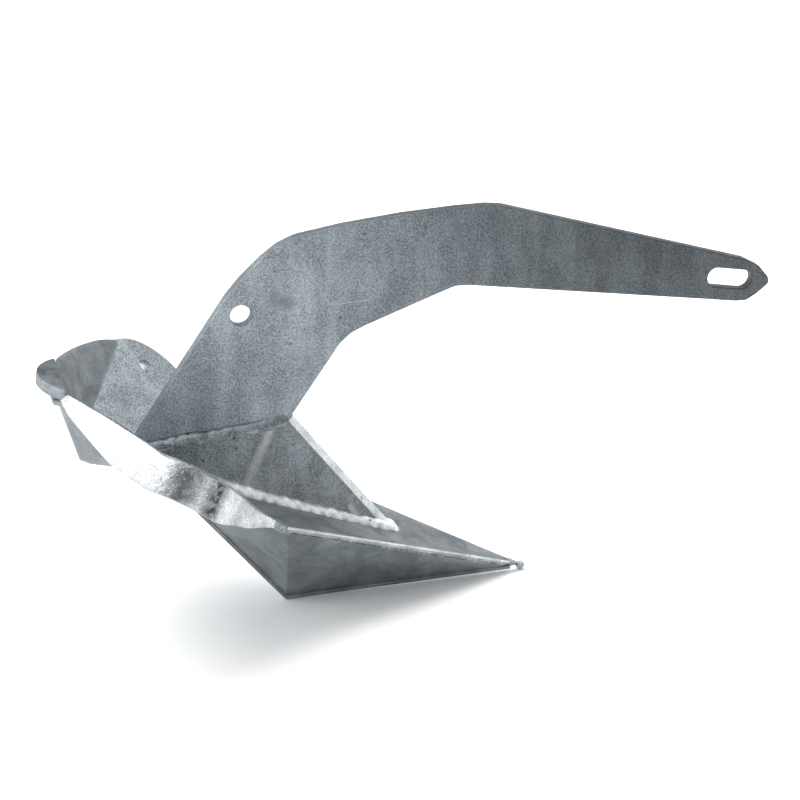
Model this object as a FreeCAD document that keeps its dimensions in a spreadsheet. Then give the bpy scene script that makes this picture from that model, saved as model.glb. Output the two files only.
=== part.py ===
import FreeCAD, Part
# Boat anchor: fixed plate shank, one-piece concave fluke with down-turned wing flanges, heel lip,
# V-shaped ballast casing and a folded gusset. Millimetres, X towards the toe, Z up, Y across.
import os
import Sketcher
from FreeCAD import Placement, Rotation, Vector

doc = FreeCAD.newDocument("boat_anchor")
sheet = doc.addObject("Spreadsheet::Sheet", "Dims")

SIZES = {
    "shank_thickness": 12.0,
    "slot_centre_x": 331.3,
    "slot_centre_z": 305.0,
    "slot_half_travel": 14.5,
    "slot_radius": 10.2,
    "slot_tilt": 10.0,
    "hole_centre_x": -176.3,
    "hole_centre_z": 315.6,
    "hole_radius": 10.4,
    "shank_edge_round": 1.4,
    "bend_round": 24.0,
    "eye_round": 4.5,
    "toe_x": 119.0,
    "toe_z": 4.5,
    "heel_fold_x": -337.0,
    "heel_fold_z": 198.0,
    "shoulder_x": -153.4,
    "shoulder_y": 96.0,
    "shoulder_z": 129.1,
    "wing_corner_x": -277.4,
    "wing_corner_y": 146.5,
    "wing_corner_z": 245.0,
    "heel_corner_x": -348.4,
    "heel_corner_y": 46.0,
    "heel_corner_z": 270.8,
    "heel_panel_x": -356.2,
    "heel_panel_half": 28.5,
    "heel_panel_z": 267.5,
    "plate_thickness": 7.2,
    "flange_depth": 37.0,
    "flange_thickness": 6.0,
    "wing_hole_x": -251.2,
    "wing_hole_y": 133.1,
    "wing_hole_z": 216.5,
    "wing_hole_radius": 7.5,
    "keel_x": -137.0,
    "keel_z": 2.6,
    "casing_rear_x": -271.4,
    "casing_thickness": 5.0,
    "toe_length": 16.0,
    "toe_nib_radius": 4.5,
    "ballast_length": 92.0,
    "lip_thickness": 11.0,
    "lip_depth": 22.0,
    "lip_half_width": 46.0,
    "lip_plan_radius": 53.0,
    "lip_rear_x": -375.0,
    "lip_rear_z": 265.2,
    "lip_tilt": 10.0,
    "gusset_thickness": 5.0,
    "gusset_nose_round": 3.0,
    "foot_bead": 8.0,
    "top_bead": 7.0,
    "seam_bead": 2.6,
    "lip_bead": 3.5,
}

# Side outline of the shank, clockwise from the shackle end, as (x, z); the last group is the foot
# that stands on the fluke inside the gusset.
SHANK_OUTLINE = [
    (346.0, 324.8), (363.0, 315.6), (373.6, 303.0), (375.2, 296.0), (362.0, 285.6), (351.0, 279.4),
    (340.0, 279.6), (278.0, 289.4), (54.0, 324.4), (39.0, 325.2), (22.0, 319.4), (-54.0, 292.6),
    (-68.0, 286.2), (-79.0, 276.4), (-88.0, 263.6), (-126.0, 209.5), (-134.0, 199.0), (-39.0, 72.2),
    (-296.0, 181.3), (-237.0, 267.7), (-190.0, 335.4), (-175.0, 352.4), (-155.0, 370.6),
    (-138.0, 383.2), (-120.0, 390.2), (-74.0, 397.2), (-14.5, 402.8), (40.0, 405.2), (70.0, 405.4),
    (88.0, 403.0),
]

# Outline of a wing in its own plane: first value along the floor fold, second across it.
WING_OUTLINE = [(12.0, 15.5), (25.0, 36.0), (35.5, 58.0), (43.5, 80.0), (51.0, 99.0), (62.0, 114.0),
                (75.0, 125.5), (90.0, 133.0), (105.0, 135.0)]
# Outline of a rear panel in its own plane: first value along the crease from the heel fold.
REAR_OUTLINE = [(154.0, 10.0), (140.5, 20.3), (125.5, 30.0), (110.0, 39.3), (93.0, 48.4), (75.0, 57.2)]
# Side profile (x, z) that trims the lower edge of the flanges.
FLANGE_TRIM = [(-140.0, 123.0), (-153.4, 129.1), (-173.0, 138.0), (-200.0, 151.0), (-219.5, 167.8),
               (-240.0, 183.0), (-306.0, 222.0), (-325.0, 233.3), (-341.0, 247.0), (-362.0, 265.0)]

# Side profile (x, z) of the gusset, from the foot of its nose round to the floor again.
GUSSET_PROFILE = [(-17.9, 60.5), (-126.4, 204.5), (-158.5, 196.5), (-201.6, 192.0), (-234.0, 190.5),
                  (-266.0, 187.0), (-284.0, 190.0), (-296.0, 178.0), (-296.0, 160.0), (-36.0, 50.0)]
# Weld runs on the +Y side: round the gusset's foot, and along its top edge against the shank.
FOOT_RUN = [(-19.0, 0.0, 63.5), (-23.0, 3.4, 65.4), (-184.0, 24.0, 135.4), (-278.0, 17.0, 174.2),
            (-290.0, 16.0, 179.0)]
TOP_RUN = [(-276.0, 7.0, 190.0), (-266.0, 7.0, 188.0), (-234.0, 7.0, 191.5), (-201.6, 7.0, 193.0),
           (-158.5, 7.0, 197.5), (-130.0, 7.0, 203.0)]

for row, (alias, value) in enumerate(SIZES.items(), start=1):
    sheet.set("A%d" % row, alias)
    sheet.set("B%d" % row, str(value))
    sheet.setAlias("B%d" % row, alias)
doc.recompute()


def size(alias):
    return float(getattr(sheet, alias))


def bind(feature, prop, formula):
    feature.setExpression(prop, formula)


def new_body(label):
    body = doc.addObject("PartDesign::Body", label)
    body.Label = label
    return body


def sketch_on(body, role, name):
    sketch = body.newObject("Sketcher::SketchObject", name)
    plane = [item for item in body.Origin.OriginFeatures if item.Role == role][0]
    sketch.AttachmentSupport = [(plane, "")]
    sketch.MapMode = "FlatFace"
    return sketch


def add_loop(sketch, points):
    """Close the points with straight lines and fix every corner by its two coordinates."""
    count = len(points)
    for index, (first, second) in enumerate(points):
        after = points[(index + 1) % count]
        sketch.addGeometry(Part.LineSegment(Vector(first, second, 0), Vector(after[0], after[1], 0)))
    for index, (first, second) in enumerate(points):
        sketch.addConstraint(Sketcher.Constraint("Coincident", index, 1, (index - 1) % count, 2))
        sketch.addConstraint(Sketcher.Constraint("DistanceX", -1, 1, index, 1, first))
        sketch.addConstraint(Sketcher.Constraint("DistanceY", -1, 1, index, 1, second))


def edges_along_y(shape, corners, tolerance=0.6):
    """Names of the straight cross-wise edges that start at one of the given (x, z) corners."""
    names = []
    for index, edge in enumerate(shape.Edges, start=1):
        if len(edge.Vertexes) != 2:
            continue
        start, end = (vertex.Point for vertex in edge.Vertexes)
        if abs(start.x - end.x) > 0.01 or abs(start.z - end.z) > 0.01:
            continue
        if any(abs(start.x - x) < tolerance and abs(start.z - z) < tolerance for x, z in corners):
            names.append("Edge%d" % index)
    return names


def feature(label, shape):
    item = doc.addObject("Part::Feature", label)
    item.Label = label
    item.Shape = shape
    item.Placement = Placement()
    return item


def beyond(point, normal, reach=1200.0):
    """A block that fills the side of a plane its normal points to."""
    block = Part.makeBox(reach, reach, reach, Vector(-reach / 2, -reach / 2, 0))
    block.Placement = Placement(point, Rotation(Vector(0, 0, 1), normal))
    return block


def flip(point):
    return Vector(point.x, -point.y, point.z)


def mirrored(shape):
    return shape.mirror(Vector(0, 0, 0), Vector(0, 1, 0))


def one_solid(shape):
    solids = sorted(shape.Solids, key=lambda solid: solid.Volume)
    return solids[-1]


def outward(first, second, third, inside):
    """Unit normal of the plane through three points, pointing away from a fourth."""
    normal = (second - first).cross(third - first)
    normal.normalize()
    return normal * -1.0 if (inside - first).dot(normal) > 0 else normal


def plane_normal(first, second, third):
    normal = (second - first).cross(third - first)
    normal.normalize()
    return normal if normal.z > 0 else normal * -1.0


def in_plane(origin, along, across, pairs):
    return [origin + along * first + across * second for first, second in pairs]


def spline(points):
    curve = Part.BSplineCurve()
    curve.interpolate(points)
    return curve.toShape()


def inset(pairs, ends, distance):
    """Move a run of plane points inwards by a distance, using the neighbours for the direction."""
    run = [ends[0]] + pairs + [ends[1]]
    moved = []
    for before, here, after in zip(run, run[1:], run[2:]):
        dx = after[0] - before[0]
        dy = after[1] - before[1]
        length = (dx * dx + dy * dy) ** 0.5
        moved.append((here[0] + distance * dy / length, here[1] - distance * dx / length))
    return moved


def bead(points, radius):
    """A round weld run through the points."""
    run = Part.makeSphere(radius, points[0])
    for start, end in zip(points, points[1:]):
        run = run.fuse(Part.makeCylinder(radius, (end - start).Length, start, end - start))
        run = run.fuse(Part.makeSphere(radius, end))
    return run


# ---- shank: one thick plate with a shackle slot and a trip-line hole -------------------------------
blank = new_body("shank_blank")
outline = sketch_on(blank, "XZ_Plane", "shank_outline")
add_loop(outline, SHANK_OUTLINE)
plate = blank.newObject("PartDesign::Pad", "shank_plate")
plate.Profile = outline
plate.SideType = "Symmetric"
bind(plate, "Length", "Dims.shank_thickness")
doc.recompute()

EYE_CORNERS = SHANK_OUTLINE[0:7]
BEND_CORNERS = SHANK_OUTLINE[7:15] + SHANK_OUTLINE[20:26] + SHANK_OUTLINE[27:30]
bends = blank.newObject("PartDesign::Fillet", "shank_bends")
bends.Base = (plate, edges_along_y(plate.Shape, BEND_CORNERS))
bind(bends, "Radius", "Dims.bend_round")
doc.recompute()
eye = blank.newObject("PartDesign::Fillet", "shank_eye")
eye.Base = (bends, edges_along_y(bends.Shape, EYE_CORNERS))
bind(eye, "Radius", "Dims.eye_round")
doc.recompute()


def crosswise_pin(label, x_formula, z_formula, radius):
    """A round cutter across the plate."""
    pin = doc.addObject("Part::Cylinder", label)
    pin.Placement = Placement(Vector(0, 0, 0), Rotation(Vector(1, 0, 0), 90))
    bind(pin, "Radius", radius)
    bind(pin, "Height", "4 * Dims.shank_thickness")
    bind(pin, "Placement.Base.x", x_formula)
    bind(pin, "Placement.Base.y", "2 * Dims.shank_thickness")
    bind(pin, "Placement.Base.z", z_formula)
    return pin


REACH = "Dims.slot_half_travel * %s(Dims.slot_tilt * 1deg)"
slot_fore = crosswise_pin("slot_fore", "Dims.slot_centre_x + " + REACH % "cos",
                          "Dims.slot_centre_z - " + REACH % "sin", "Dims.slot_radius")
slot_aft = crosswise_pin("slot_aft", "Dims.slot_centre_x - " + REACH % "cos",
                         "Dims.slot_centre_z + " + REACH % "sin", "Dims.slot_radius")
trip_hole = crosswise_pin("trip_hole", "Dims.hole_centre_x", "Dims.hole_centre_z", "Dims.hole_radius")
slot_web = doc.addObject("Part::Box", "slot_web")
slot_web.Placement = Placement(Vector(0, 0, 0), Rotation(Vector(0, 1, 0), size("slot_tilt")))
bind(slot_web, "Length", "2 * Dims.slot_half_travel")
bind(slot_web, "Width", "4 * Dims.shank_thickness")
bind(slot_web, "Height", "2 * Dims.slot_radius")
SIDE = "Dims.slot_radius * %s(Dims.slot_tilt * 1deg)"
bind(slot_web, "Placement.Base.x", "Dims.slot_centre_x - " + REACH % "cos" + " - " + SIDE % "sin")
bind(slot_web, "Placement.Base.y", "-2 * Dims.shank_thickness")
bind(slot_web, "Placement.Base.z", "Dims.slot_centre_z + " + REACH % "sin" + " - " + SIDE % "cos")
cutters = doc.addObject("Part::MultiFuse", "shank_cutters")
cutters.Shapes = [slot_fore, slot_aft, slot_web, trip_hole]
pierced = doc.addObject("Part::Cut", "shank_pierced")
pierced.Base = blank
pierced.Tool = cutters
doc.recompute()

def face_edges(shape, half):
    """Numbers of the edges that bound the two broad faces of the plate."""
    found = []
    for index, edge in enumerate(shape.Edges, start=1):
        box = edge.BoundBox
        if box.YLength < 0.01 and abs(abs(box.YMin) - half) < 0.01:
            found.append(index)
    return found


shank = doc.addObject("Part::Fillet", "shank")
shank.Base = pierced
edge_round = size("shank_edge_round")
rounded = face_edges(pierced.Shape, size("shank_thickness") / 2)
shank.Edges = [(index, edge_round, edge_round) for index in rounded]
doc.recompute()
shank.Label = "shank"

# ---- fluke: floor halves, wings and rear panels folded from one plate, flanges turned down ----------
TOE = Vector(size("toe_x"), 0, size("toe_z"))
HEEL = Vector(size("heel_fold_x"), 0, size("heel_fold_z"))
SHOULDER = Vector(size("shoulder_x"), size("shoulder_y"), size("shoulder_z"))
CORNER = Vector(size("wing_corner_x"), size("wing_corner_y"), size("wing_corner_z"))
HEEL_CORNER = Vector(size("heel_corner_x"), size("heel_corner_y"), size("heel_corner_z"))
KEEL = Vector(size("keel_x"), 0, size("keel_z"))
CASING_REAR = TOE + (HEEL - TOE) * ((TOE.x - size("casing_rear_x")) / (TOE.x - HEEL.x))

FLOOR_NORMAL = plane_normal(TOE, SHOULDER, HEEL)
WING_NORMAL = plane_normal(SHOULDER, CORNER, HEEL)
REAR_NORMAL = plane_normal(HEEL, CORNER, HEEL_CORNER)
PANEL_TOP = Vector(size("heel_panel_x"), size("heel_panel_half"), size("heel_panel_z"))
PANEL_TOP = PANEL_TOP - REAR_NORMAL * (PANEL_TOP - HEEL).dot(REAR_NORMAL)
PLATE_DROP = Vector(-0.55, 0, -0.835) * size("plate_thickness")
FLANGE_DROP = WING_NORMAL * -size("flange_depth")
CASING_FRONT = outward(TOE, SHOULDER, KEEL, CASING_REAR)
CASING_BACK = outward(KEEL, SHOULDER, CASING_REAR, TOE)
TOE_BLOCK = beyond(TOE - Vector(size("toe_length"), 0, 0), Vector(1, 0, 0))
NEAR_HALF = beyond(Vector(0, 0, 0), Vector(0, -1, 0))


def panel_frame(start, end, normal):
    """Unit vectors along a fold and across it, up the panel."""
    along = end - start
    along.normalize()
    across = normal.cross(along)
    across.normalize()
    return along, across if across.z > 0 else across * -1.0


def local(point, origin, frame):
    offset = point - origin
    return offset.dot(frame[0]), offset.dot(frame[1])


def face(edges):
    return Part.Face(Part.Wire(Part.__sortEdges__(edges)))


def line(start, end):
    return Part.LineSegment(start, end).toShape()


def polygon(points):
    return Part.Face(Part.makePolygon(points + [points[0]]))


def rim_strip(origin, frame, pairs, corners, corners_in, thickness):
    """The band of a panel next to its rim, as wide as the flange is thick."""
    first, last = corners
    ends = [local(first, origin, frame), local(last, origin, frame)]
    outer = spline([first] + in_plane(origin, *frame, pairs) + [last])
    inside = in_plane(origin, *frame, inset(pairs, ends, thickness))
    inner = spline([corners_in[0]] + inside + [corners_in[1]])
    return face([outer, inner, line(first, corners_in[0]), line(last, corners_in[1])])


def folded_wing():
    """Wing and rear panel with their flange, +Y side."""
    wing = panel_frame(SHOULDER, HEEL, WING_NORMAL)
    rear = panel_frame(HEEL, CORNER, REAR_NORMAL)
    wing_rim = spline([SHOULDER] + in_plane(SHOULDER, *wing, WING_OUTLINE) + [CORNER])
    rear_rim = spline([CORNER] + in_plane(HEEL, *rear, REAR_OUTLINE) + [HEEL_CORNER])
    panels = face([wing_rim, line(CORNER, HEEL), line(HEEL, SHOULDER)]).extrude(PLATE_DROP)
    panels = panels.fuse(face([rear_rim, line(HEEL_CORNER, PANEL_TOP), line(PANEL_TOP, HEEL),
                               line(HEEL, CORNER)]).extrude(PLATE_DROP))
    thick = size("flange_thickness")
    corner_in = CORNER - rear[0] * thick * 1.5
    shoulder_in = SHOULDER + wing[0] * thick * 1.3
    heel_in = HEEL_CORNER + (PANEL_TOP - HEEL_CORNER) * (thick / (PANEL_TOP - HEEL_CORNER).Length)
    wing_strip = rim_strip(SHOULDER, wing, WING_OUTLINE, (SHOULDER, CORNER), (shoulder_in, corner_in), thick)
    rear_strip = rim_strip(HEEL, rear, REAR_OUTLINE, (CORNER, HEEL_CORNER), (corner_in, heel_in), -thick)
    flange = wing_strip.extrude(FLANGE_DROP).fuse(rear_strip.extrude(FLANGE_DROP))
    folded = panels.fuse(flange).removeSplitter()
    trim = [Vector(x, -10, z) for x, z in FLANGE_TRIM] + [Vector(-362, -10, 60), Vector(-140, -10, 60)]
    folded = folded.cut(polygon(trim).extrude(Vector(0, 260, 0)).cut(panels))
    hole_at = Vector(size("wing_hole_x"), size("wing_hole_y"), size("wing_hole_z"))
    drill = Part.makeCylinder(size("wing_hole_radius"), 60, hole_at - WING_NORMAL * 30, WING_NORMAL)
    return folded.cut(drill)


# The lip: a D-shaped plate across the heel, tilted up to the rear.
lip_disc = doc.addObject("Part::Cylinder", "lip_disc")
bind(lip_disc, "Radius", "Dims.lip_plan_radius")
bind(lip_disc, "Height", "Dims.lip_thickness")
bind(lip_disc, "Placement.Base.x", "Dims.lip_plan_radius")
lip_bar = doc.addObject("Part::Box", "lip_bar")
bind(lip_bar, "Length", "Dims.lip_depth")
bind(lip_bar, "Width", "2 * Dims.lip_half_width")
bind(lip_bar, "Height", "Dims.lip_thickness")
bind(lip_bar, "Placement.Base.y", "-Dims.lip_half_width")
heel_lip = doc.addObject("Part::MultiCommon", "heel_lip")
heel_lip.Shapes = [lip_disc, lip_bar]
heel_lip.Placement = Placement(Vector(0, 0, 0), Rotation(Vector(0, 1, 0), size("lip_tilt")))
bind(heel_lip, "Placement.Base.x", "Dims.lip_rear_x")
bind(heel_lip, "Placement.Base.z", "Dims.lip_rear_z")
doc.recompute()
LIP = heel_lip.Shape.copy()

floor_half = polygon([TOE, SHOULDER, HEEL]).extrude(PLATE_DROP).cut(beyond(TOE, CASING_FRONT))
side = floor_half.fuse(folded_wing())
heel_panel = polygon([HEEL, PANEL_TOP, flip(PANEL_TOP)]).extrude(PLATE_DROP)
fluke_shape = side.fuse([mirrored(side), heel_panel]).cut([TOE_BLOCK, LIP]).removeSplitter()
FLUKE = one_solid(fluke_shape)
fluke_plate = feature("fluke_plate", FLUKE)


# ---- ballast casing under the floor: two folded plates that meet along the keel ---------------------
def tetrahedron(corners):
    faces = [polygon([point for point in corners if point is not left_out]) for left_out in corners]
    solid = Part.Solid(Part.Shell(faces))
    return solid if solid.Volume > 0 else solid.reversed()


hull_half = tetrahedron([TOE, KEEL, SHOULDER, CASING_REAR])
wall = size("casing_thickness")
room_half = hull_half.cut([beyond(KEEL - CASING_FRONT * wall, CASING_FRONT),
                           beyond(KEEL - CASING_BACK * wall, CASING_BACK)])
casing_half = one_solid(hull_half.cut([room_half, FLUKE, TOE_BLOCK]))
casing_left = feature("casing_left", casing_half)
casing_right = feature("casing_right", mirrored(casing_half))

ballast_back = beyond(TOE - Vector(size("toe_length") + size("ballast_length"), 0, 0), Vector(-1, 0, 0))
ballast_shape = room_half.fuse(mirrored(room_half)).cut([FLUKE, TOE_BLOCK, ballast_back]).removeSplitter()
ballast_weight = feature("ballast_weight", one_solid(ballast_shape))

nib_radius = size("toe_nib_radius")
nib = Part.makeSphere(nib_radius, TOE - Vector(nib_radius, 0, 0))
toe_half = hull_half.common(TOE_BLOCK)
toe_shape = toe_half.fuse([mirrored(toe_half), nib.common(TOE_BLOCK)]).removeSplitter()
toe_point = feature("toe_point", one_solid(toe_shape))

# ---- gusset: a plate folded round the foot of the shank ----------------------------------------------
SHANK = shank.Shape.copy()
FRONT_FLARE = Vector(0.1696, 1, 0.0943)
REAR_FLARE = Vector(0, 1, 0.1875)
NOSE_NORMAL = Vector(0.7986, 0, 0.6018)
NOSE_TOP = Vector(GUSSET_PROFILE[1][0], 0, GUSSET_PROFILE[1][1])


def gusset_walls(depth):
    """The outside of the gusset's side and nose planes, moved inwards by a depth."""
    planes = [(Vector(0, 5.51, 0), FRONT_FLARE), (Vector(0, 49.4, 0), REAR_FLARE), (NOSE_TOP, NOSE_NORMAL)]
    walls = []
    for point, normal in planes:
        walls.append(beyond(point - normal * (depth / normal.Length), normal))
    return walls


def nose_edges(shape):
    """The long edges either side of the gusset's nose."""
    found = []
    for edge in shape.Edges:
        middle = edge.valueAt((edge.FirstParameter + edge.LastParameter) / 2)
        if edge.Length > 100 and abs((middle - NOSE_TOP).dot(NOSE_NORMAL)) < 0.2 and abs(middle.y) > 1:
            found.append(edge)
    return found


profile = polygon([Vector(x, 0, z) for x, z in GUSSET_PROFILE]).extrude(Vector(0, 60, 0))
block_half = profile.cut(gusset_walls(0) + [beyond(TOE, FLOOR_NORMAL * -1.0)])
gusset_block = block_half.fuse(mirrored(block_half)).removeSplitter()
gusset_block = gusset_block.makeFillet(size("gusset_nose_round"), nose_edges(gusset_block))
hollow_half = Part.makeBox(300, 60, 200, Vector(-300, 0, 40)).cut(gusset_walls(size("gusset_thickness")))
gusset_shape = gusset_block.cut([hollow_half, mirrored(hollow_half), SHANK])
gusset = feature("gusset", one_solid(gusset_shape))

# ---- welds ----------------------------------------------------------------------------------------
BELOW_FLOOR = [FLUKE, hull_half, mirrored(hull_half)]


def points(run):
    return [Vector(*place) for place in run]


foot_weld = bead(points(FOOT_RUN), size("foot_bead")).cut([gusset_block, SHANK, NEAR_HALF] + BELOW_FLOOR)
foot_weld = one_solid(foot_weld.cut([hollow_half, beyond(TOE, FLOOR_NORMAL * -1.0)]))
feature("weld_gusset_foot_left", foot_weld)
feature("weld_gusset_foot_right", mirrored(foot_weld))
top_weld = bead(points(TOP_RUN), size("top_bead")).cut([gusset_block, SHANK, NEAR_HALF, hollow_half])
top_weld = one_solid(top_weld)
feature("weld_gusset_top_left", top_weld)
feature("weld_gusset_top_right", mirrored(top_weld))
rear_weld = bead([Vector(-296, -6, 181.3), Vector(-296, 6, 181.3)], size("lip_bead") * 1.5)
rear_weld = rear_weld.cut([SHANK, gusset_shape, foot_weld, mirrored(foot_weld)] + BELOW_FLOOR)
feature("weld_shank_rear", one_solid(rear_weld))

hull_walls = [hull_half, mirrored(hull_half)]
keel_start = TOE + (KEEL - TOE) * (size("toe_length") / (TOE.x - KEEL.x))
keel_weld = bead([keel_start, KEEL], size("seam_bead")).cut(hull_walls + [TOE_BLOCK])
feature("weld_keel_seam", one_solid(keel_weld))
ridge_weld = bead([KEEL, CASING_REAR], size("seam_bead")).cut(hull_walls + [FLUKE, keel_weld])
feature("weld_rear_seam", one_solid(ridge_weld))

down = HEEL - HEEL_CORNER
down.normalize()
lip_ends = [HEEL_CORNER + PLATE_DROP + down * 8.0, PANEL_TOP + PLATE_DROP + down * 8.0]
lip_weld = bead(lip_ends + [flip(point) for point in reversed(lip_ends)], size("lip_bead")).cut([LIP, FLUKE])
feature("weld_heel_lip", one_solid(lip_weld))

# ---- check and write ------------------------------------------------------------------------------
PARTS = ["shank", "fluke_plate", "heel_lip", "casing_left", "casing_right", "ballast_weight", "toe_point",
         "gusset", "weld_gusset_foot_left", "weld_gusset_foot_right", "weld_gusset_top_left",
         "weld_gusset_top_right", "weld_shank_rear", "weld_keel_seam", "weld_rear_seam", "weld_heel_lip"]
doc.recompute()
for item in doc.Objects:
    if "Invalid" in item.State or "Error" in item.State:
        raise RuntimeError("%s did not build" % item.Label)
os.makedirs("parts", exist_ok=True)
for label in PARTS:
    item = doc.getObjectsByLabel(label)[0]
    if item.Shape.isNull() or not item.Shape.isValid():
        raise RuntimeError("%s has no valid shape" % label)
    item.Shape.exportStep("parts/%s.step" % label)
    print("%s: %.1f cm3" % (label, item.Shape.Volume / 1000))
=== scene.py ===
import math

import bmesh
import bpy
import numpy as np
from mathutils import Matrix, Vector


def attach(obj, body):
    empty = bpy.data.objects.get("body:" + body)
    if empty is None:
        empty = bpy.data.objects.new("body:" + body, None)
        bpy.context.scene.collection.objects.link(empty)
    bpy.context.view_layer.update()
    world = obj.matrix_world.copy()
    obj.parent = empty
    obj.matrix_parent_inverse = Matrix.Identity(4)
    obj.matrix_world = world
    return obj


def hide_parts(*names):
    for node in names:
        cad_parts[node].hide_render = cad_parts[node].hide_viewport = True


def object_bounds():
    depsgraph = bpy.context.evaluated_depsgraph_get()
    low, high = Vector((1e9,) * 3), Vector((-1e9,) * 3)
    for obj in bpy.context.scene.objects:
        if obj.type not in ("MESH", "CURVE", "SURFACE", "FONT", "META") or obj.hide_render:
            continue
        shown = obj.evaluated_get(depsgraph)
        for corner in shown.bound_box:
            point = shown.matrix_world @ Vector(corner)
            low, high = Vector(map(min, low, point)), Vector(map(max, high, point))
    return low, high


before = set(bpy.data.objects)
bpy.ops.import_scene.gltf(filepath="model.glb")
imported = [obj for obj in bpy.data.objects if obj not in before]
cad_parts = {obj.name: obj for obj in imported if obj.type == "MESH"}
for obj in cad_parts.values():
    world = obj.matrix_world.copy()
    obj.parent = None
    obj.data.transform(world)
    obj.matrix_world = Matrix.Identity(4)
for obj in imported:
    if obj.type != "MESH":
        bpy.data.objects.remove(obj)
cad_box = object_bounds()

# ---- shank ---------------------------------------------------------------------------------------
# One flat plate of 12 mm steel, flame cut to a cranked outline, with a long slot for the chain's
# shackle and a round hole for the trip line. It is dipped in molten zinc, which dries to a cloudy
# blue-grey with a fine grain, small runs and pits, and is scratched where it has been handled.


class Wire:
    """A shader socket that takes part in sums, so that 1 - mask or noise * 0.3 adds Math nodes."""

    def __init__(self, tree, socket):
        self.tree = tree
        self.socket = socket

    def add(self, kind, settings, sockets, output=0):
        """Any node: its type, its settings, its sockets by name or number, and the output wanted."""
        made = self.tree.nodes.new(kind)
        for key, value in settings.items():
            setattr(made, key, value)
        for key, value in sockets.items():
            if isinstance(value, Wire):
                self.tree.links.new(value.socket, made.inputs[key])
            else:
                made.inputs[key].default_value = value
        return Wire(self.tree, made.outputs[output])

    def maths(self, operation, *values):
        return self.add("ShaderNodeMath", {"operation": operation}, dict(enumerate(values)))

    def __add__(self, other):
        return self.maths("ADD", self, other)

    def __radd__(self, other):
        return self.maths("ADD", other, self)

    def __sub__(self, other):
        return self.maths("SUBTRACT", self, other)

    def __rsub__(self, other):
        return self.maths("SUBTRACT", other, self)

    def __mul__(self, other):
        return self.maths("MULTIPLY", self, other)

    def __rmul__(self, other):
        return self.maths("MULTIPLY", other, self)

    def __truediv__(self, other):
        return self.maths("DIVIDE", self, other)

    def ramp(self, low, high):
        """0 below low, 1 above high, and a smooth rise between; low may be the larger."""
        settings = {"interpolation_type": "SMOOTHSTEP", "clamp": True}
        return self.add("ShaderNodeMapRange", settings, {0: self, 1: low, 2: high, 3: 0.0, 4: 1.0})

    def tint(self, first, second):
        """A colour that goes from the first to the second as this value goes from 0 to 1."""
        settings = {"data_type": "RGBA", "clamp_factor": True}
        return self.add("ShaderNodeMix", settings, {0: self, 6: first, 7: second}, output=2)

    def noise(self, scale, detail=3.0, rough=0.55, warp=0.0):
        """Cloudy noise from 0 to 1 on this place, with the given number of lumps per metre."""
        sockets = {"Vector": self, "Scale": scale, "Detail": detail, "Roughness": rough, "Distortion": warp}
        return self.add("ShaderNodeTexNoise", {}, sockets)

    def cells(self, scale, output=0):
        """Distance to the nearest of scattered points, or their random colours with output 1."""
        return self.add("ShaderNodeTexVoronoi", {"feature": "F1"}, {"Vector": self, "Scale": scale}, output)

    def stretched(self, x, y, z, turn=0.0):
        """This place squeezed or drawn out along each axis, and turned about Y."""
        sockets = {"Vector": self, "Rotation": (0.0, turn, 0.0), "Scale": (x, y, z)}
        return self.add("ShaderNodeMapping", {"vector_type": "POINT"}, sockets)


def axes_of(place):
    """The three numbers of a place."""
    return [place.add("ShaderNodeSeparateXYZ", {}, {0: place}, output=axis) for axis in range(3)]


def stroke(place, start, end, width):
    """1 on a line between two (x, z) points and 0 a width away: distance to the nearest point of it."""
    x, _, z = axes_of(place)
    run_x, run_z = end[0] - start[0], end[1] - start[1]
    length_squared = run_x * run_x + run_z * run_z
    along = ((x - start[0]) * run_x + (z - start[1]) * run_z) / length_squared
    along = place.maths("MINIMUM", place.maths("MAXIMUM", along, 0.0), 1.0)
    off_x = x - (start[0] + along * run_x)
    off_z = z - (start[1] + along * run_z)
    distance = place.maths("SQRT", off_x * off_x + off_z * off_z)
    return distance.ramp(width, 0.0)


METALLIC = 0.86
RELIEF = 0.0012
PIT_TONE = (0.07, 0.075, 0.08, 1.0)


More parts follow.
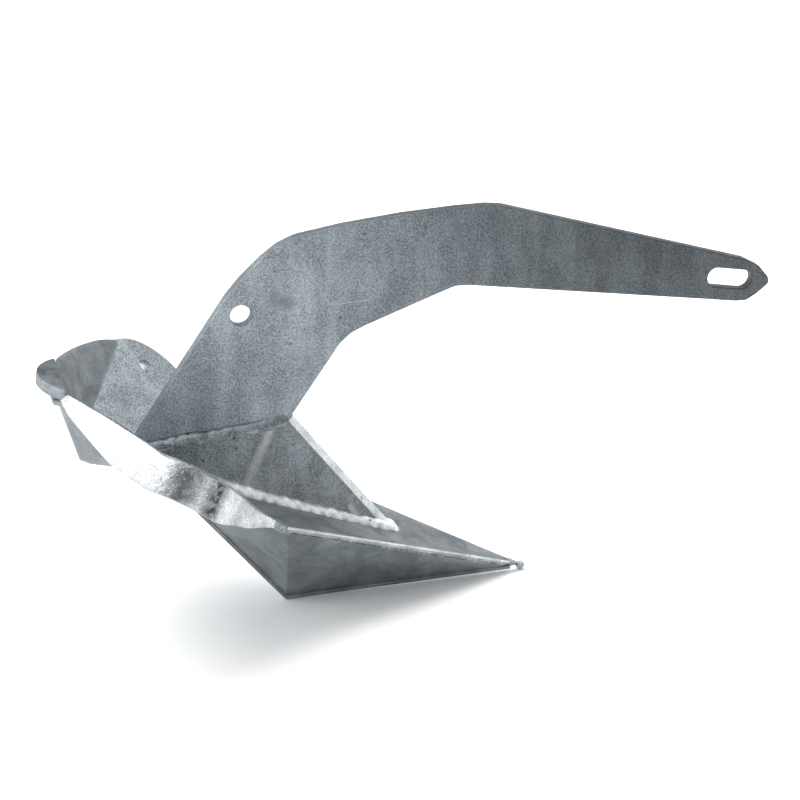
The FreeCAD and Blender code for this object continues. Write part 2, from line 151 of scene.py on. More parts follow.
def zinc(name, light, dark, cloud=18.0, blotch=0.62, grain=0.5, runs=0.5, gloss=0.42, sparkle=0.6, edges=0.0,
         painted_shade_fades=(), marks_and_painted_light=()):
    """Dipped zinc: clouds of light and dark, crystal flecks, fine grain, soft runs and pits.

    Each fade is a painted shade: (axis, where it starts, where it is full, how much darker). Each mark is
    (start, end, width, tone, depth), a stroke seen from the side: a real scratch, stain or pit, or a band of
    painted highlight or painted reflection. edges paints shade on what doesn't face across, so narrow cut
    edges come out darker.
    """
    material = bpy.data.materials.new(name)
    material.use_nodes = True
    tree = material.node_tree
    shader = tree.nodes["Principled BSDF"]
    shader.inputs["Metallic"].default_value = METALLIC
    shader.inputs["Specular IOR Level"].default_value = 0.5
    holder = tree.nodes.new("ShaderNodeTexCoord")
    place = Wire(tree, holder.outputs["Object"])

    clouds = place.noise(cloud, 4.0, 0.62, 0.6)
    streaks = place.stretched(1.0, 1.0, 0.28, math.radians(24)).noise(46.0, 3.0, 0.6, 0.4)
    fleck = place.noise(520.0, 2.0, 0.8)
    crystal = place.cells(210.0, output=1)
    crystal_tone = axes_of(crystal)[0]
    fine = place.noise(900.0, 3.0, 0.75)
    lumps = place.noise(75.0, 3.0, 0.55, 0.3)
    pits = place.cells(58.0).ramp(0.14, 0.05) * place.noise(31.0, 1.0).ramp(0.52, 0.6)

    tone = clouds.ramp(0.30, 0.72) * blotch + streaks.ramp(0.35, 0.7) * 0.26 + (0.62 - blotch) * 0.5
    tone = tone + (crystal_tone - 0.5) * 0.14 + (fleck.ramp(0.36, 0.64) - 0.5) * (sparkle * 0.42)
    # Painted shade: faces that don't point across, the narrow cut edges, are darkened by the edges amount.
    if edges:
        across = axes_of(place.add("ShaderNodeNewGeometry", {}, {}, output=1))[1]
        tone = tone - (1.0 - (across * across).ramp(0.2, 0.8)) * edges
    colour = tone.tint((*dark, 1.0), (*light, 1.0))
    # Painted shade: each fade multiplies the colour darker along one axis.
    for axis, low, high, amount in painted_shade_fades:
        shade = 1.0 - axes_of(place)[axis].ramp(low, high) * amount
        colour = place.add("ShaderNodeMix", {"data_type": "RGBA", "blend_type": "MULTIPLY"},
                           {0: 1.0, 6: colour, 7: shade}, output=2)
    colour = (pits * 0.75).tint(colour, PIT_TONE)
    rough = gloss + clouds * 0.14 + (fleck - 0.5) * 0.35 + crystal_tone * 0.05
    height = fine * (0.20 * grain) + fleck * (0.62 * grain) + lumps * (0.9 * runs) - pits * 0.5
    # Each stroke paints its tone into the colour: real scratches, stains and pits, and on some finishes bands
    # of painted highlight or painted reflection.
    for start, end, width, mark, depth in marks_and_painted_light:
        line = stroke(place, start, end, width)
        line = line * (0.55 + place.noise(160.0, 2.0).ramp(0.3, 0.6) * 0.45)
        colour = line.tint(colour, (*mark, 1.0))
        height = height - line * depth
    bump = place.add("ShaderNodeBump", {}, {"Height": height, "Strength": 0.7, "Distance": RELIEF})
    tree.links.new(colour.socket, shader.inputs["Base Color"])
    tree.links.new(rough.socket, shader.inputs["Roughness"])
    tree.links.new(bump.socket, shader.inputs["Normal"])
    return material


def dress(node, material):
    """Give a CAD node its finish."""
    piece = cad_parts[node]
    piece.data.materials.clear()
    piece.data.materials.append(material)


SCRATCH = (0.36, 0.38, 0.40)
STAIN = (0.09, 0.095, 0.10)
STAIN_EDGE = (0.19, 0.20, 0.21)
FAINT_STAIN = (0.13, 0.14, 0.15)
SHANK_MARKS = [((-0.1154, 0.3647), (-0.0990, 0.3370), 0.0012, SCRATCH, 0.3),
               ((-0.0990, 0.3370), (-0.0884, 0.3181), 0.0013, SCRATCH, 0.3),
               ((-0.0884, 0.3181), (-0.0484, 0.3193), 0.0012, SCRATCH, 0.3),
               ((-0.1368, 0.3270), (-0.1362, 0.3275), 0.0030, STAIN, 0.5),
               ((-0.1420, 0.3290), (-0.1300, 0.3240), 0.0120, STAIN_EDGE, 0.0),
               ((0.0372, 0.3985), (0.0447, 0.3621), 0.0050, FAINT_STAIN, 0.0)]
# Painted shade: the shank is darkened towards its right end and towards its top, and along its narrow cut
# edges.
SHANK_PAINTED_SHADE = [(0, -0.27, 0.24, 0.68), (2, 0.33, 0.41, 0.10)]
shank_zinc = zinc("shank_zinc", (0.48, 0.543, 0.580), (0.160, 0.184, 0.200), cloud=13.0, blotch=0.32,
                  grain=1.5, runs=0.3, gloss=0.38, sparkle=1.6, edges=0.4, painted_shade_fades=SHANK_PAINTED_SHADE,
                  marks_and_painted_light=SHANK_MARKS)
dress("shank", shank_zinc)

# ---- fluke ---------------------------------------------------------------------------------------
# One 7 mm plate folded along the middle and across the back into two floor halves, two wings and two
# rear panels, with the wings' rims bent down into a flange. Each wing has a small hole punched in it.

TOE = np.array([0.119, 0.0, 0.0045])
HEEL = np.array([-0.337, 0.0, 0.198])
SHOULDER = np.array([-0.1534, 0.096, 0.1291])
WING_CORNER = np.array([-0.2774, 0.1465, 0.245])
HEEL_CORNER = np.array([-0.3484, 0.046, 0.2708])
KEEL = np.array([-0.137, 0.0, 0.0026])
TOE_END_X = 0.103
PLATE_DROP = np.array([-0.55, 0.0, -0.835]) * 0.0072
FLANGE_DEPTH = 0.037
FLANGE_THICKNESS = 0.0062
RIM_BEND = 0.0078
WING_OUTLINE = np.array([(12.0, 15.5), (25.0, 36.0), (35.5, 58.0), (43.5, 80.0), (51.0, 99.0), (62.0, 114.0),
                         (75.0, 125.5), (90.0, 133.0), (105.0, 135.0)]) / 1000
REAR_OUTLINE = np.array([(154.0, 10.0), (140.5, 20.3), (125.5, 30.0), (110.0, 39.3), (93.0, 48.4),
                         (75.0, 57.2)]) / 1000
FLANGE_FOOT = np.array([(-153.4, 129.1), (-173.0, 138.0), (-200.0, 151.0), (-219.5, 167.8), (-240.0, 183.0),
                        (-306.0, 222.0), (-325.0, 233.3), (-341.0, 247.0), (-362.0, 265.0)])[::-1] / 1000
WING_HOLE = np.array([-0.2512, 0.1331, 0.2165])
WING_HOLE_RADIUS = 0.0075


def unit(vector):
    return vector / np.linalg.norm(vector, axis=-1, keepdims=True)


def normal_of(first, second, third):
    normal = unit(np.cross(second - first, third - first))
    return normal if normal[2] > 0 else -normal


def panel_axes(start, end, normal):
    """Unit vectors along a fold and up the panel from it."""
    along = unit(end - start)
    across = unit(np.cross(normal, along))
    return along, across if across[2] > 0 else -across


def smooth_curve(points, step):
    """A Catmull-Rom curve through the points: each span is a cubic whose slopes follow its neighbours."""
    points = np.asarray(points, float)
    ends = np.vstack([2 * points[0] - points[1], points, 2 * points[-1] - points[-2]])
    t = np.linspace(0, 1, 24, endpoint=False)[:, None]
    a, b, c, d = (ends[k:len(ends) - 3 + k, None, :] for k in range(4))
    spans = 0.5 * (2 * b + (c - a) * t + (2 * a - 5 * b + 4 * c - d) * t**2 + (3 * b - a - 3 * c + d) * t**3)
    line = np.vstack([spans.reshape(-1, points.shape[1]), points[-1:]])
    return even_steps(line, step)


def even_steps(line, step):
    """The same line with its points a step apart."""
    travelled = np.r_[0, np.cumsum(np.linalg.norm(np.diff(line, axis=0), axis=1))]
    wanted = np.linspace(0, travelled[-1], max(2, int(round(travelled[-1] / step)) + 1))
    return np.stack([np.interp(wanted, travelled, line[:, axis]) for axis in range(line.shape[1])], 1)


def softened(rows, spread):
    """Rows averaged with their neighbours by a bell curve a number of rows wide; the ends stay put."""
    reach = int(3 * spread)
    weights = np.exp(-0.5 * (np.arange(-reach, reach + 1) / spread) ** 2)
    padded = np.concatenate([2 * rows[:1] - rows[reach:0:-1], rows, 2 * rows[-1:] - rows[-2:-reach - 2:-1]])
    return np.stack([np.convolve(padded[:, axis], weights / weights.sum(), "valid")
                     for axis in range(rows.shape[1])], 1)


def shell(name, corners, faces, material, zones=None):
    """A mesh piece from corner points and faces, its doubles merged, riding on the anchor."""
    mesh = bpy.data.meshes.new(name)
    mesh.from_pydata(corners, [], faces)
    if zones is not None:
        mesh.polygons.foreach_set("material_index", zones.astype(np.int32))
    work = bmesh.new()
    work.from_mesh(mesh)
    bmesh.ops.remove_doubles(work, verts=work.verts, dist=2e-5)
    bmesh.ops.dissolve_degenerate(work, dist=1e-6, edges=work.edges)
    bmesh.ops.recalc_face_normals(work, faces=work.faces)
    work.to_mesh(mesh)
    work.free()
    mesh.polygons.foreach_set("use_smooth", np.ones(len(mesh.polygons), bool))
    mesh.materials.append(material)
    piece = bpy.data.objects.new(name, mesh)
    bpy.context.scene.collection.objects.link(piece)
    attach(piece, "root")
    return piece


floor_normal = normal_of(TOE, SHOULDER, HEEL)
wing_normal = normal_of(SHOULDER, WING_CORNER, HEEL)
rear_normal = normal_of(HEEL, WING_CORNER, HEEL_CORNER)
casing_normal = unit(np.cross(KEEL - TOE, SHOULDER - TOE))
casing_normal = casing_normal if casing_normal[1] > 0 else -casing_normal
panel_top = np.array([-0.3562, 0.0285, 0.2675])
panel_top = panel_top - rear_normal * ((panel_top - HEEL) @ rear_normal)
top_middle = panel_top * np.array([1.0, 0.0, 1.0])


def flange_depths(rim):
    """How far each rim point's flange reaches down before it meets the sloping foot line."""
    depths = np.linspace(0.0, FLANGE_DEPTH, 75)
    reach = rim[:, None, :] - wing_normal * depths[None, :, None]
    foot = np.interp(reach[..., 0], FLANGE_FOOT[:, 0], FLANGE_FOOT[:, 1])
    return depths[(reach[..., 2] > foot).sum(1).clip(0, 74)]


def fluke_half():
    """Rows round one side, from the toe to the middle of the heel: hub, rim, outward, down, depth, bend."""
    toe_end = TOE + (SHOULDER - TOE) * (TOE[0] - TOE_END_X) / (TOE[0] - SHOULDER[0])
    hub_end = TOE + (HEEL - TOE) * (TOE[0] - TOE_END_X) / (TOE[0] - HEEL[0])
    wing_along, wing_across = panel_axes(SHOULDER, HEEL, wing_normal)
    rear_along, rear_across = panel_axes(HEEL, WING_CORNER, rear_normal)
    wing_rim = SHOULDER + WING_OUTLINE[:, :1] * wing_along + WING_OUTLINE[:, 1:] * wing_across
    rear_rim = HEEL + REAR_OUTLINE[:, :1] * rear_along + REAR_OUTLINE[:, 1:] * rear_across
    front = even_steps(np.array([toe_end, SHOULDER]), 0.004)
    wing = smooth_curve(np.vstack([SHOULDER, wing_rim, WING_CORNER]), 0.0019)[1:]
    rear = smooth_curve(np.vstack([WING_CORNER, rear_rim, HEEL_CORNER]), 0.0022)[1:]
    top = even_steps(np.array([HEEL_CORNER, panel_top]), 0.003)[1:]
    cross = even_steps(np.array([panel_top, top_middle]), 0.003)[1:]
    share = np.linspace(0, 1, len(front))[:, None]
    hub = np.vstack([hub_end + (HEEL - hub_end) * share, np.tile(HEEL, (len(wing) + len(rear) + len(top)
                                                                        + len(cross), 1))])
    rim = np.vstack([front, wing, rear, top, cross])
    heel_normal = unit(np.cross(panel_top - HEEL, np.array([0.0, 1.0, 0.0])))
    normals = np.vstack([np.tile(floor_normal, (len(front), 1)), np.tile(wing_normal, (len(wing), 1)),
                         np.tile(rear_normal, (len(rear) + len(top), 1)),
                         np.tile(heel_normal, (len(cross), 1))])
    outward = unit(np.cross(np.gradient(rim, axis=0), normals))
    outward = outward * np.sign(((rim - HEEL) * outward).sum(1, keepdims=True))
    casing_down = unit(np.cross(SHOULDER - TOE, casing_normal))
    casing_down = casing_down if casing_down[2] < 0 else -casing_down
    plate_fall = abs(PLATE_DROP @ floor_normal) / abs(casing_down @ floor_normal)
    edge_fall = np.linalg.norm(PLATE_DROP)
    down = np.vstack([np.tile(casing_down, (len(front), 1)),
                      np.tile(-wing_normal, (len(wing) + len(rear), 1)),
                      np.tile(unit(PLATE_DROP), (len(top) + len(cross), 1))])
    depth = np.concatenate([np.full(len(front), plate_fall), flange_depths(wing).clip(edge_fall),
                            flange_depths(rear).clip(edge_fall), np.full(len(top) + len(cross), edge_fall)])
    bend = (depth * 0.32).clip(0.0024, RIM_BEND)
    return hub, rim, outward, down, np.stack([depth, bend], 1)


def mirrored_rows(rows):
    return rows[-2::-1] * np.array([1.0, -1.0, 1.0])


hub, rim, outward, down, sizes = fluke_half()
hub = np.vstack([hub, mirrored_rows(hub)])
rim = softened(np.vstack([rim, mirrored_rows(rim)]), 2.6)
outward = unit(softened(np.vstack([outward, mirrored_rows(outward)]), 2.2))
down = unit(softened(np.vstack([down, mirrored_rows(down)]), 2.4))
sizes = softened(np.vstack([sizes, sizes[-2::-1]]), 2.4)
rim = rim + outward * (sizes[:, 1:] - 0.0024).clip(0) * 0.42


def arc(start, corner, end, count):
    """A quadratic curve that leaves start and reaches end in line with the corner between them."""
    t = np.linspace(0, 1, count)[None, :, None]
    return (1 - t) ** 2 * start[:, None] + 2 * t * (1 - t) * corner[:, None] + t**2 * end[:, None]


def straight(start, end, shares):
    return start[:, None] + (end - start)[:, None] * shares[None, :, None]


def fluke_surface():
    """Each row is the plate's section: out along the top, round the bend, down the flange, and back."""
    depth, bend = sizes[:, :1], sizes[:, 1:]
    lip = 0.0001 + 0.0010 * ((depth - 0.009) / 0.006).clip(0, 1)
    thick = np.maximum(bend, np.minimum(FLANGE_THICKNESS, bend * 1.2))
    shares = np.r_[np.linspace(0, 0.8, 17), np.linspace(0.82, 1.0, 26)]
    top = straight(hub, rim - outward * bend, shares)
    rounded = arc(rim - outward * bend, rim, rim + down * bend, 8)[:, 1:]
    face = straight(rim + down * bend, rim + down * (depth - lip), np.linspace(0, 1, 9)[1:])
    foot = arc(rim + down * (depth - lip), rim + down * depth, rim + down * depth - outward * lip, 4)[:, 1:]
    inner_foot = arc(rim + down * depth - outward * (thick - lip), rim + down * depth - outward * thick,
                     rim + down * (depth - lip) - outward * thick, 4)
    under = top[:, ::-1] + PLATE_DROP
    inner = straight(rim + down * (depth - lip) - outward * thick, under[:, 0], np.linspace(0, 1, 7)[1:-1])
    return np.concatenate([top, rounded, face, foot, inner_foot, inner, under], 1), len(shares)


grid, panel_count = fluke_surface()
rows, columns = grid.shape[:2]

# The folds are pressed round where they meet at the heel, so the plate sags about that point.
HEEL_BELLY = np.array([0.0035, 0.0, -0.0135])
BELLY_REACH = 0.030
BELLY_TIP = 0.007
TIP_SHARE = 0.30
from_heel = np.linalg.norm(grid - HEEL, axis=-1, keepdims=True)
belly = np.exp(-(from_heel / BELLY_REACH) ** 2) - TIP_SHARE * np.exp(-from_heel / BELLY_TIP)
grid = grid + belly * HEEL_BELLY
# The flange's foot is held to the CAD's width, which flattens it slightly where the wing is widest.
grid[..., 1] = grid[..., 1].clip(cad_box[0].y, cad_box[1].y)


def hole_offsets(points, centre):
    """Offsets of points from a wing hole's axis, measured square to it."""
    axis = wing_normal * np.array([1.0, np.sign(centre[1]), 1.0])
    offset = points - centre
    return offset - (offset @ axis)[..., None] * axis, axis


def punched(grid):
    """Open a round hole in each wing: drop the faces inside it and pull the edge onto the circle."""
    keep = np.ones((rows - 1, columns - 1), bool)
    walls = []
    for side in (1.0, -1.0):
        centre = WING_HOLE * np.array([1.0, side, 1.0])
        top = grid[:, :panel_count]
        offset, axis = hole_offsets(top, centre)
        distance = np.linalg.norm(offset, axis=-1)
        near_side = np.sign(top[..., 1]) == side
        inside = (distance < WING_HOLE_RADIUS) & near_side
        gone = inside[:-1, :-1] & inside[1:, :-1] & inside[:-1, 1:] & inside[1:, 1:]
        touched = np.zeros_like(inside)
        for shift_row, shift_column in ((0, 0), (1, 0), (0, 1), (1, 1)):
            touched[shift_row:rows - 1 + shift_row, shift_column:panel_count - 1 + shift_column] |= gone
        whole = np.zeros_like(inside)
        padded = np.pad(gone, 1)
        whole |= padded[:-1, :-1] & padded[1:, :-1] & padded[:-1, 1:] & padded[1:, 1:]
        ring = touched & ~whole
        snapped = unit(offset + 1e-9) * (WING_HOLE_RADIUS - distance[..., None])
        under = grid[:, ::-1][:, :panel_count]
        slide = PLATE_DROP - axis * (PLATE_DROP @ axis)
        fade = (1 - ((distance - 0.009) / 0.012).clip(0, 1))[..., None] * near_side[..., None]
        under -= slide * fade
        top[ring] += snapped[ring]
        under[ring] += snapped[ring]
        keep[:, :panel_count - 1] &= ~gone
        keep[:, columns - panel_count:] &= ~gone[:, ::-1]
        edge_rows = (np.pad(gone, 1)[1:-1, 1:] != np.pad(gone, 1)[1:-1, :-1])
        edge_columns = (np.pad(gone, 1)[1:, 1:-1] != np.pad(gone, 1)[:-1, 1:-1])
        r, c = np.nonzero(edge_rows)
        first = np.stack([r * columns + c, (r + 1) * columns + c], 1)
        back = np.stack([(r + 1) * columns + columns - 1 - c, r * columns + columns - 1 - c], 1)
        walls.append(np.hstack([first, back]))
        r, c = np.nonzero(edge_columns)
        first = np.stack([r * columns + c, r * columns + c + 1], 1)
        back = np.stack([r * columns + columns - 2 - c, r * columns + columns - 1 - c], 1)
        walls.append(np.hstack([first, back]))
    return keep, np.vstack(walls)


kept_faces, hole_walls = punched(grid)
index = np.arange(rows * columns).reshape(rows, columns)
quads = np.stack([index[:-1, :-1], index[1:, :-1], index[1:, 1:], index[:-1, 1:]], -1)[kept_faces]
fluke_zinc = zinc("fluke_zinc", (0.46, 0.51, 0.53), (0.18, 0.205, 0.22), cloud=24.0, blotch=0.40, grain=2.6,
                  runs=0.7, gloss=0.26, sparkle=2.2)
# Two darker bands down the curved flange are painted reflection: they stand for the dull surroundings that it
# mirrors.
RIM_PAINTED_REFLECTIONS = [((-0.2490, 0.2467), (-0.2780, 0.2057), 0.0290, (0.15, 0.162, 0.175), 0.0),
             ((-0.2180, 0.2290), (-0.2470, 0.1880), 0.0170, (0.02, 0.022, 0.025), 0.0)]
# A much lighter version of the fluke's zinc: painted reflection of the bright light that the flanges mirror.
rim_painted_highlight_zinc = zinc("rim_painted_highlight_zinc", (0.82, 0.85, 0.87), (0.38, 0.405, 0.42), cloud=30.0, grain=1.7, runs=0.8,
                gloss=0.12, sparkle=1.4, marks_and_painted_light=RIM_PAINTED_REFLECTIONS)
# A darker version of the fluke's zinc: painted shade for faces turned away from the light and for the
# underside.
back_painted_shade_zinc = zinc("back_painted_shade_zinc", (0.30, 0.33, 0.345), (0.11, 0.125, 0.135), cloud=26.0, grain=1.0, runs=0.7,
                 gloss=0.36, sparkle=1.0)
# Three finishes on one zinc plate: the wings' own zinc, painted highlight on the flanges and the front edge,
# and painted shade on the underside, the front floor and the rear panels.
WINGS, RIMS_PAINTED_HIGHLIGHT, BACKS_PAINTED_SHADE = 0, 1, 2
SHALLOW = 0.0085
BEND_HALF = 4
FRONT_EDGE_HIGHLIGHT = (-2, 7)
column = np.tile(np.arange(columns - 1), (rows - 1, 1))
zone = np.where(column < columns - panel_count, RIMS_PAINTED_HIGHLIGHT, BACKS_PAINTED_SHADE)
zone = np.where(column < panel_count + BEND_HALF, WINGS, zone)
# Painted shade: the front floor and the rear panels take the darker finish.
darker = (rim[:-1, 0] < WING_CORNER[0]) | (rim[:-1, 0] > SHOULDER[0])
zone = np.where((zone == WINGS) & darker[:, None], BACKS_PAINTED_SHADE, zone)
zone = np.where((zone == RIMS_PAINTED_HIGHLIGHT) & (sizes[:-1, :1] < SHALLOW), WINGS, zone)
past_panel = column - panel_count
# Painted highlight: the front edge takes the lighter finish.
front_edge_highlight = (past_panel >= FRONT_EDGE_HIGHLIGHT[0]) & (past_panel < FRONT_EDGE_HIGHLIGHT[1]) & (rim[:-1, :1] > SHOULDER[0])
zone = np.where(front_edge_highlight, RIMS_PAINTED_HIGHLIGHT, zone)
face_zones = np.concatenate([zone[kept_faces], np.zeros(len(hole_walls) + 2, int)])
fluke_faces = np.vstack([quads, hole_walls]).tolist() + [index[0].tolist(), index[-1, ::-1].tolist()]
fluke = shell("fluke", grid.reshape(-1, 3).tolist(), fluke_faces, fluke_zinc, zones=face_zones)
fluke.data.materials.append(rim_painted_highlight_zinc)
fluke.data.materials.append(back_painted_shade_zinc)
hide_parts("fluke_plate")

# ---- heel lip, casing, ballast and toe -------------------------------------------------------------
# The lip is a D-shaped plate across the heel. Under the floor two folded plates make a V-shaped casing,
# sealed round the ballast, and floor and casing run together into a solid blunt toe.


def eased(node, name, width, material, turn=28.0):
    """A copy of a CAD node, merged, with every sharp edge rounded by a narrow bevel."""
    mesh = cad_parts[node].data.copy()
    mesh.name = name
    work = bmesh.new()
    work.from_mesh(mesh)
    bmesh.ops.remove_doubles(work, verts=work.verts, dist=1e-5)
    bmesh.ops.dissolve_limit(work, angle_limit=math.radians(0.6), verts=work.verts, edges=work.edges)
    work.to_mesh(mesh)
    work.free()
    mesh.materials.clear()
    mesh.materials.append(material)
    piece = bpy.data.objects.new(name, mesh)
    bpy.context.scene.collection.objects.link(piece)
    bevel = piece.modifiers.new("eased_edges", "BEVEL")
    bevel.width = width
    bevel.segments = 3
    bevel.limit_method = "ANGLE"
    bevel.angle_limit = math.radians(turn)
    bevel.harden_normals = True
    mesh.polygons.foreach_set("use_smooth", np.ones(len(mesh.polygons), bool))
    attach(piece, "root")
    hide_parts(node)


lip_zinc = zinc("lip_zinc", (0.30, 0.33, 0.35), (0.07, 0.08, 0.087), cloud=40.0, grain=1.0, runs=0.9,
                gloss=0.34)
casing_zinc = zinc("casing_zinc", (0.30, 0.335, 0.35), (0.13, 0.148, 0.158), cloud=20.0, grain=0.9, runs=0.6,
                   gloss=0.40, sparkle=0.8)
eased("heel_lip", "lip", 0.0016, lip_zinc)
eased("casing_left", "casing_left_plate", 0.0006, casing_zinc)
eased("casing_right", "casing_right_plate", 0.0006, casing_zinc)
dress("toe_point", fluke_zinc)
dress("ballast_weight", casing_zinc)

# ---- gusset ----------------------------------------------------------------------------------------
# One plate folded round the front of the shank's foot, wider towards the floor, dipped with the rest.

# The first stroke is a painted highlight along the crease where the gusset's two flares meet; the second is a
# small light mark sunk slightly into the plate.
GUSSET_HIGHLIGHT_AND_MARK = [((-0.1508, 0.1965), (-0.1860, 0.1320), 0.0075, (0.38, 0.405, 0.42), 0.0),
                ((-0.0700, 0.1010), (-0.0640, 0.0880), 0.0055, (0.50, 0.52, 0.53), 0.2)]
gusset_zinc = zinc("gusset_zinc", (0.36, 0.395, 0.415), (0.12, 0.135, 0.145), cloud=22.0, blotch=0.45,
                   grain=1.6, runs=0.6, gloss=0.34, sparkle=1.4, marks_and_painted_light=GUSSET_HIGHLIGHT_AND_MARK)
NOSE_FOOT = np.array([-0.0205, 0.0640])
NOSE_TOP = np.array([-0.1264, 0.2045])
GUSSET_TOP = np.array([(-126.4, 204.5), (-158.5, 196.5), (-201.6, 192.0), (-234.0, 190.5), (-266.0, 187.0),
                       (-283.0, 189.5)]) / 1000
GUSSET_FLOOR = np.array([(-20.5, 64.0), (-110.0, 101.0), (-184.0, 132.0), (-240.0, 157.0),
                         (-291.0, 178.0)]) / 1000
HIDDEN_HALF = 0.0052
NOSE_HIGHLIGHT_COLUMNS = 12
# A near-white version of the gusset's zinc on the rounded nose: painted highlight where the nose catches the
# light.
nose_painted_highlight_zinc = zinc("nose_painted_highlight_zinc", (0.90, 0.92, 0.93), (0.48, 0.51, 0.53), cloud=60.0, grain=1.2, runs=0.8,
                 gloss=0.30, sparkle=1.1)


def gusset_surface():
    """Half width at each side place: the lesser of two flares, rounded to nothing at the nose."""
    along = np.r_[np.linspace(0, 1, 22) ** 2 * 0.14, np.linspace(0.16, 1, 44)]
    height = np.linspace(0, 1, 60)[:, None, None]
    ends = []
    for line in (GUSSET_FLOOR, GUSSET_TOP):
        fine = even_steps(line, 0.001)
        share = np.linspace(0, 1, len(fine))
        ends.append(np.stack([np.interp(along, share, fine[:, axis]) for axis in range(2)], 1))
    side = ends[0] + (ends[1] - ends[0]) * height
    x, z = side[..., 0], side[..., 1]
    front = 0.00551 - 0.1696 * x - 0.0943 * z
    rear = 0.0494 - 0.1875 * z
    half = 0.5 * (front + rear - np.sqrt((front - rear) ** 2 + 0.0016 ** 2))
    ridge = unit(NOSE_TOP - NOSE_FOOT)
    behind = ((x - NOSE_FOOT[0]) * -ridge[1] + (z - NOSE_FOOT[1]) * ridge[0]).clip(0)
    round_over = (behind / (1.15 * half)).clip(0, 1)
    half = half * np.sqrt(1 - (1 - round_over) ** 2)
    outer = np.stack([x, half, z], -1)
    first = np.argmax(along > 0.12)
    hidden = np.stack([x, np.minimum(half, HIDDEN_HALF), z], -1)[:, first:]
    other = np.array([1.0, -1.0, 1.0])
    return np.concatenate([outer[:, ::-1], outer[:, 1:] * other, hidden[:, ::-1] * other, hidden], 1)


gusset_grid = gusset_surface()
levels, places = gusset_grid.shape[:2]
number = np.arange(levels * places).reshape(levels, places)
beside = np.roll(number, -1, 1)
gusset_faces = np.stack([number[:-1], beside[:-1], beside[1:], number[1:]], -1).reshape(-1, 4).tolist()
gusset_faces += [number[0].tolist(), number[-1, ::-1].tolist()]
middle = np.argmin(gusset_grid[0, :, 1] ** 2 + (gusset_grid[0, :, 0] - NOSE_FOOT[0]) ** 2)
on_nose_highlight = np.abs(np.arange(places) - middle + 0.5) < NOSE_HIGHLIGHT_COLUMNS
gusset_zones = np.r_[np.tile(on_nose_highlight.astype(int), levels - 1), 0, 0]
gusset = shell("gusset_plate", gusset_grid.reshape(-1, 3).tolist(), gusset_faces, gusset_zinc,
               zones=gusset_zones)
gusset.data.materials.append(nose_painted_highlight_zinc)
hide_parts("gusset")

# ---- welds -----------------------------------------------------------------------------------------
# Hand-laid runs that hold the plates together. The four round the gusset are chains of overlapping
# ripples a few millimetres apart and uneven in width: bright along the floor, where there is a pit
# near the nose, and flatter and duller along the shank. The other four are small plain beads.


RING_SIDES = 20
TAPER = 2.4
RIPPLE_PITCH = 0.0042


def weld(name, node, path, radius, seed, material, ripple=0.10, step=0.0011, flat=1.0, lean=(0.05, 0.2, 1.0)):
    """A tube round a path: radius r (1 + ripple saw + slow waves), drawn in to nothing at each end."""
    line = smooth_curve(np.asarray(path, float), step)
    count = len(line)
    travelled = np.linspace(0, np.linalg.norm(np.diff(line, axis=0), axis=1).sum(), count)
    random = np.random.default_rng(seed)
    phases = random.uniform(0, 2 * np.pi, 8)
    beat = travelled * 2 * np.pi / RIPPLE_PITCH + 0.9 * np.sin(travelled * 2 * np.pi / 0.031 + phases[0])
    saw = 0.6 * np.sin(beat) + 0.3 * np.sin(2 * beat + 0.7)
    slow = 0.06 * np.sin(travelled * 2 * np.pi / 0.047 + phases[1]) + 0.035 * np.sin(
        travelled * 2 * np.pi / 0.019 + phases[2]) + 0.012 * np.sin(travelled * 2 * np.pi / 0.011 + phases[3])
    angle = np.linspace(0, 2 * np.pi, RING_SIDES, endpoint=False)
    forward = unit(np.gradient(line, axis=0))
    side = unit(np.cross(forward, np.array(lean)))
    up = np.cross(side, forward)
    spread = 0.05 * np.sin(2 * angle[None, :] + beat[:, None] * 0.31 + phases[4])
    wave = 1 + ripple * saw[:, None] + slow[:, None] + spread
    ends = np.minimum(travelled, travelled[::-1]) / (TAPER * radius)
    taper = np.sqrt(1 - (1 - ends.clip(0, 1)) ** 2)[:, None]
    size = radius * wave * taper
    ring = np.cos(angle)[None, :, None] * side[:, None] + np.sin(angle)[None, :, None] * up[:, None] * flat
    corners = line[:, None] + size[..., None] * ring
    number = np.arange(count * RING_SIDES).reshape(count, RING_SIDES)
    after = np.roll(number, -1, 1)
    faces = np.stack([number[:-1], after[:-1], after[1:], number[1:]], -1).reshape(-1, 4)
    piece = shell(name, corners.reshape(-1, 3).tolist(), faces.tolist(), material)
    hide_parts(node)


PIT = [((-0.0275, 0.0650), (-0.0262, 0.0662), 0.0024, (0.03, 0.03, 0.03), 0.6)]
weld_zinc = zinc("weld_zinc", (0.95, 0.96, 0.96), (0.62, 0.64, 0.65), cloud=60.0, grain=1.2, runs=0.8,
                 gloss=0.34, sparkle=1.0, marks_and_painted_light=PIT)
dull_weld_zinc = zinc("dull_weld_zinc", (0.42, 0.46, 0.48), (0.13, 0.147, 0.157), cloud=90.0, grain=1.2,
                      runs=1.2, gloss=0.30, sparkle=1.0)
FOOT_RUN = np.array([(-20.0, 0.3, 63.0), (-26.0, 3.6, 66.2), (-60.0, 8.2, 81.0), (-120.0, 15.8, 107.2),
                     (-176.0, 23.2, 133.4), (-190.0, 24.2, 140.6), (-232.0, 21.6, 159.0),
                     (-278.0, 17.4, 177.0), (-290.0, 15.0, 181.0)]) / 1000
TOP_RUN = np.array([(-280.0, 9.2, 192.0), (-266.0, 9.6, 190.4), (-234.0, 9.6, 193.8), (-201.6, 9.4, 195.2),
                    (-158.5, 8.4, 199.6), (-138.0, 6.2, 203.2), (-129.0, 2.0, 204.6)]) / 1000
ACROSS = np.array([1.0, -1.0, 1.0])
weld("foot_run_left", "weld_gusset_foot_left", FOOT_RUN, 0.0076, 3, weld_zinc, ripple=0.015)
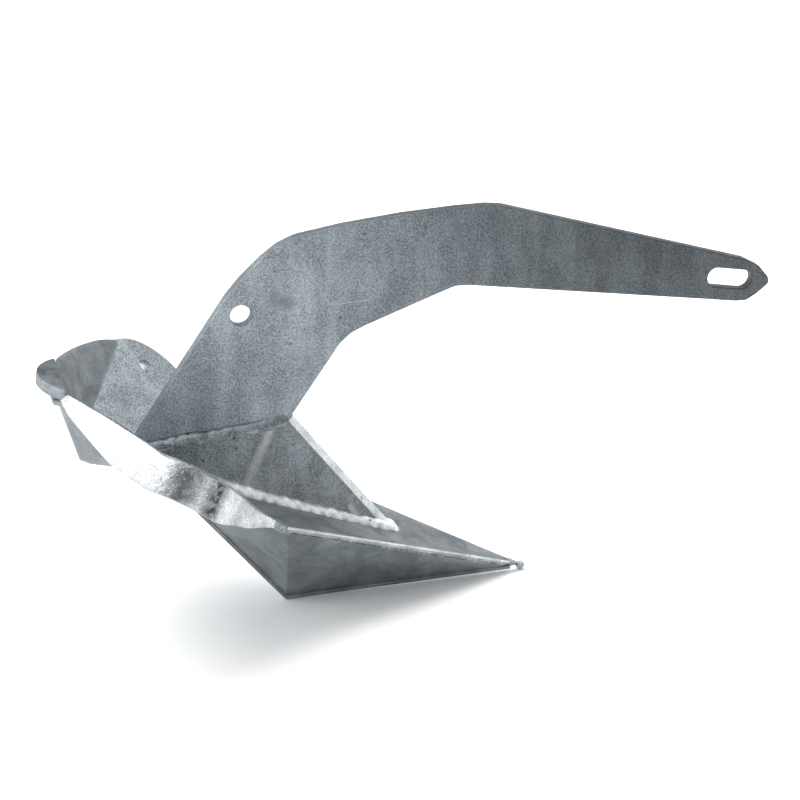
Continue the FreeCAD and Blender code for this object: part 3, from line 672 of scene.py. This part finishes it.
weld("foot_run_right", "weld_gusset_foot_right", FOOT_RUN * ACROSS, 0.0076, 4, weld_zinc, ripple=0.015)
weld("top_run_left", "weld_gusset_top_left", TOP_RUN, 0.0062, 5, dull_weld_zinc, ripple=0.03, flat=0.45,
     lean=(0.0, 0.8, 0.6))
weld("top_run_right", "weld_gusset_top_right", TOP_RUN * ACROSS, 0.0062, 6, dull_weld_zinc, ripple=0.03,
     flat=0.45, lean=(0.0, -0.8, 0.6))
for node in ("weld_shank_rear", "weld_keel_seam", "weld_rear_seam", "weld_heel_lip"):
    dress(node, casing_zinc)

# ---- studio ----------------------------------------------------------------------------------------
# A plain pale floor, soft light from the left, the right and overhead, and the camera a little above and
# to the side.

floor_mesh = bpy.data.meshes.new("floor")
FLOOR_REACH = 40.0
floor_mesh.from_pydata([(-FLOOR_REACH, -FLOOR_REACH, 0), (FLOOR_REACH, -FLOOR_REACH, 0),
                        (FLOOR_REACH, FLOOR_REACH, 0), (-FLOOR_REACH, FLOOR_REACH, 0)], [], [(0, 1, 2, 3)])
floor = bpy.data.objects.new("floor", floor_mesh)
floor.location.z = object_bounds()[0].z - 0.0005
bpy.context.scene.collection.objects.link(floor)
floor_paint = bpy.data.materials.new("floor_paint")
floor_paint.use_nodes = True
floor_paint.node_tree.nodes["Principled BSDF"].inputs["Base Color"].default_value = (0.93, 0.93, 0.93, 1)
floor_paint.node_tree.nodes["Principled BSDF"].inputs["Roughness"].default_value = 0.9
floor_mesh.materials.append(floor_paint)

world = bpy.data.worlds.new("studio")
bpy.context.scene.world = world
world.use_nodes = True
sky_tree = world.node_tree
facing = sky_tree.nodes.new("ShaderNodeTexCoord")
direction = Wire(sky_tree, facing.outputs["Generated"])
east, north, height = axes_of(direction)
glow = 0.16 + east.ramp(0.1, -0.9) * 1.0 + north.ramp(0.0, 0.95) * 0.22 + height.ramp(0.25, 0.9) * 0.35
glow = glow + east.ramp(0.25, 0.85) * height.ramp(0.0, 0.14) * 0.75
sky_tree.links.new(glow.socket, sky_tree.nodes["Background"].inputs["Strength"])
sky_tree.nodes["Background"].inputs["Color"].default_value = (0.97, 0.985, 1.0, 1)


def softbox(name, place, target, width, height_size, power):
    """A rectangular light aimed at a point."""
    data = bpy.data.lights.new(name, "AREA")
    data.shape = "RECTANGLE"
    data.size = width
    data.size_y = height_size
    data.energy = power
    lamp = bpy.data.objects.new(name, data)
    bpy.context.scene.collection.objects.link(lamp)
    lamp.location = place
    lamp.rotation_euler = (Vector(target) - Vector(place)).to_track_quat("-Z", "Y").to_euler()


softbox("left_box", (-1.7, 0.1, 0.55), (-0.3, 0, 0.2), 1.3, 1.05, 11)
softbox("right_box", (0.95, 0.85, 1.45), (-0.25, 0.1, 0.2), 1.1, 1.1, 7)
sun = bpy.data.objects.new("high_light", bpy.data.lights.new("high_light", "SUN"))
sun.data.energy = 2.9
sun.data.angle = math.radians(50)
sun.rotation_euler = (math.radians(-12), math.radians(-14), 0)
bpy.context.scene.collection.objects.link(sun)

camera_data = bpy.data.cameras.new("camera")
camera_data.sensor_width = 36.0
camera_data.lens = 95.85
camera = bpy.data.objects.new("camera", camera_data)
bpy.context.scene.collection.objects.link(camera)
VIEW_AZIMUTH = math.radians(-15.5)
VIEW_HEIGHT = math.radians(23.0)
VIEW_DISTANCE = 2.13
VIEW_TARGET = np.array([-0.0164, 0.0, 0.2075])
level = math.cos(VIEW_HEIGHT)
away = np.array([math.sin(VIEW_AZIMUTH) * level, -math.cos(VIEW_AZIMUTH) * level, math.sin(VIEW_HEIGHT)])
camera.location = VIEW_TARGET + away * VIEW_DISTANCE
camera.rotation_euler = (math.pi / 2 - VIEW_HEIGHT, 0, VIEW_AZIMUTH)
camera_data.clip_end = 200
bpy.context.scene.camera = camera
bpy.context.scene.view_settings.view_transform = "Standard"
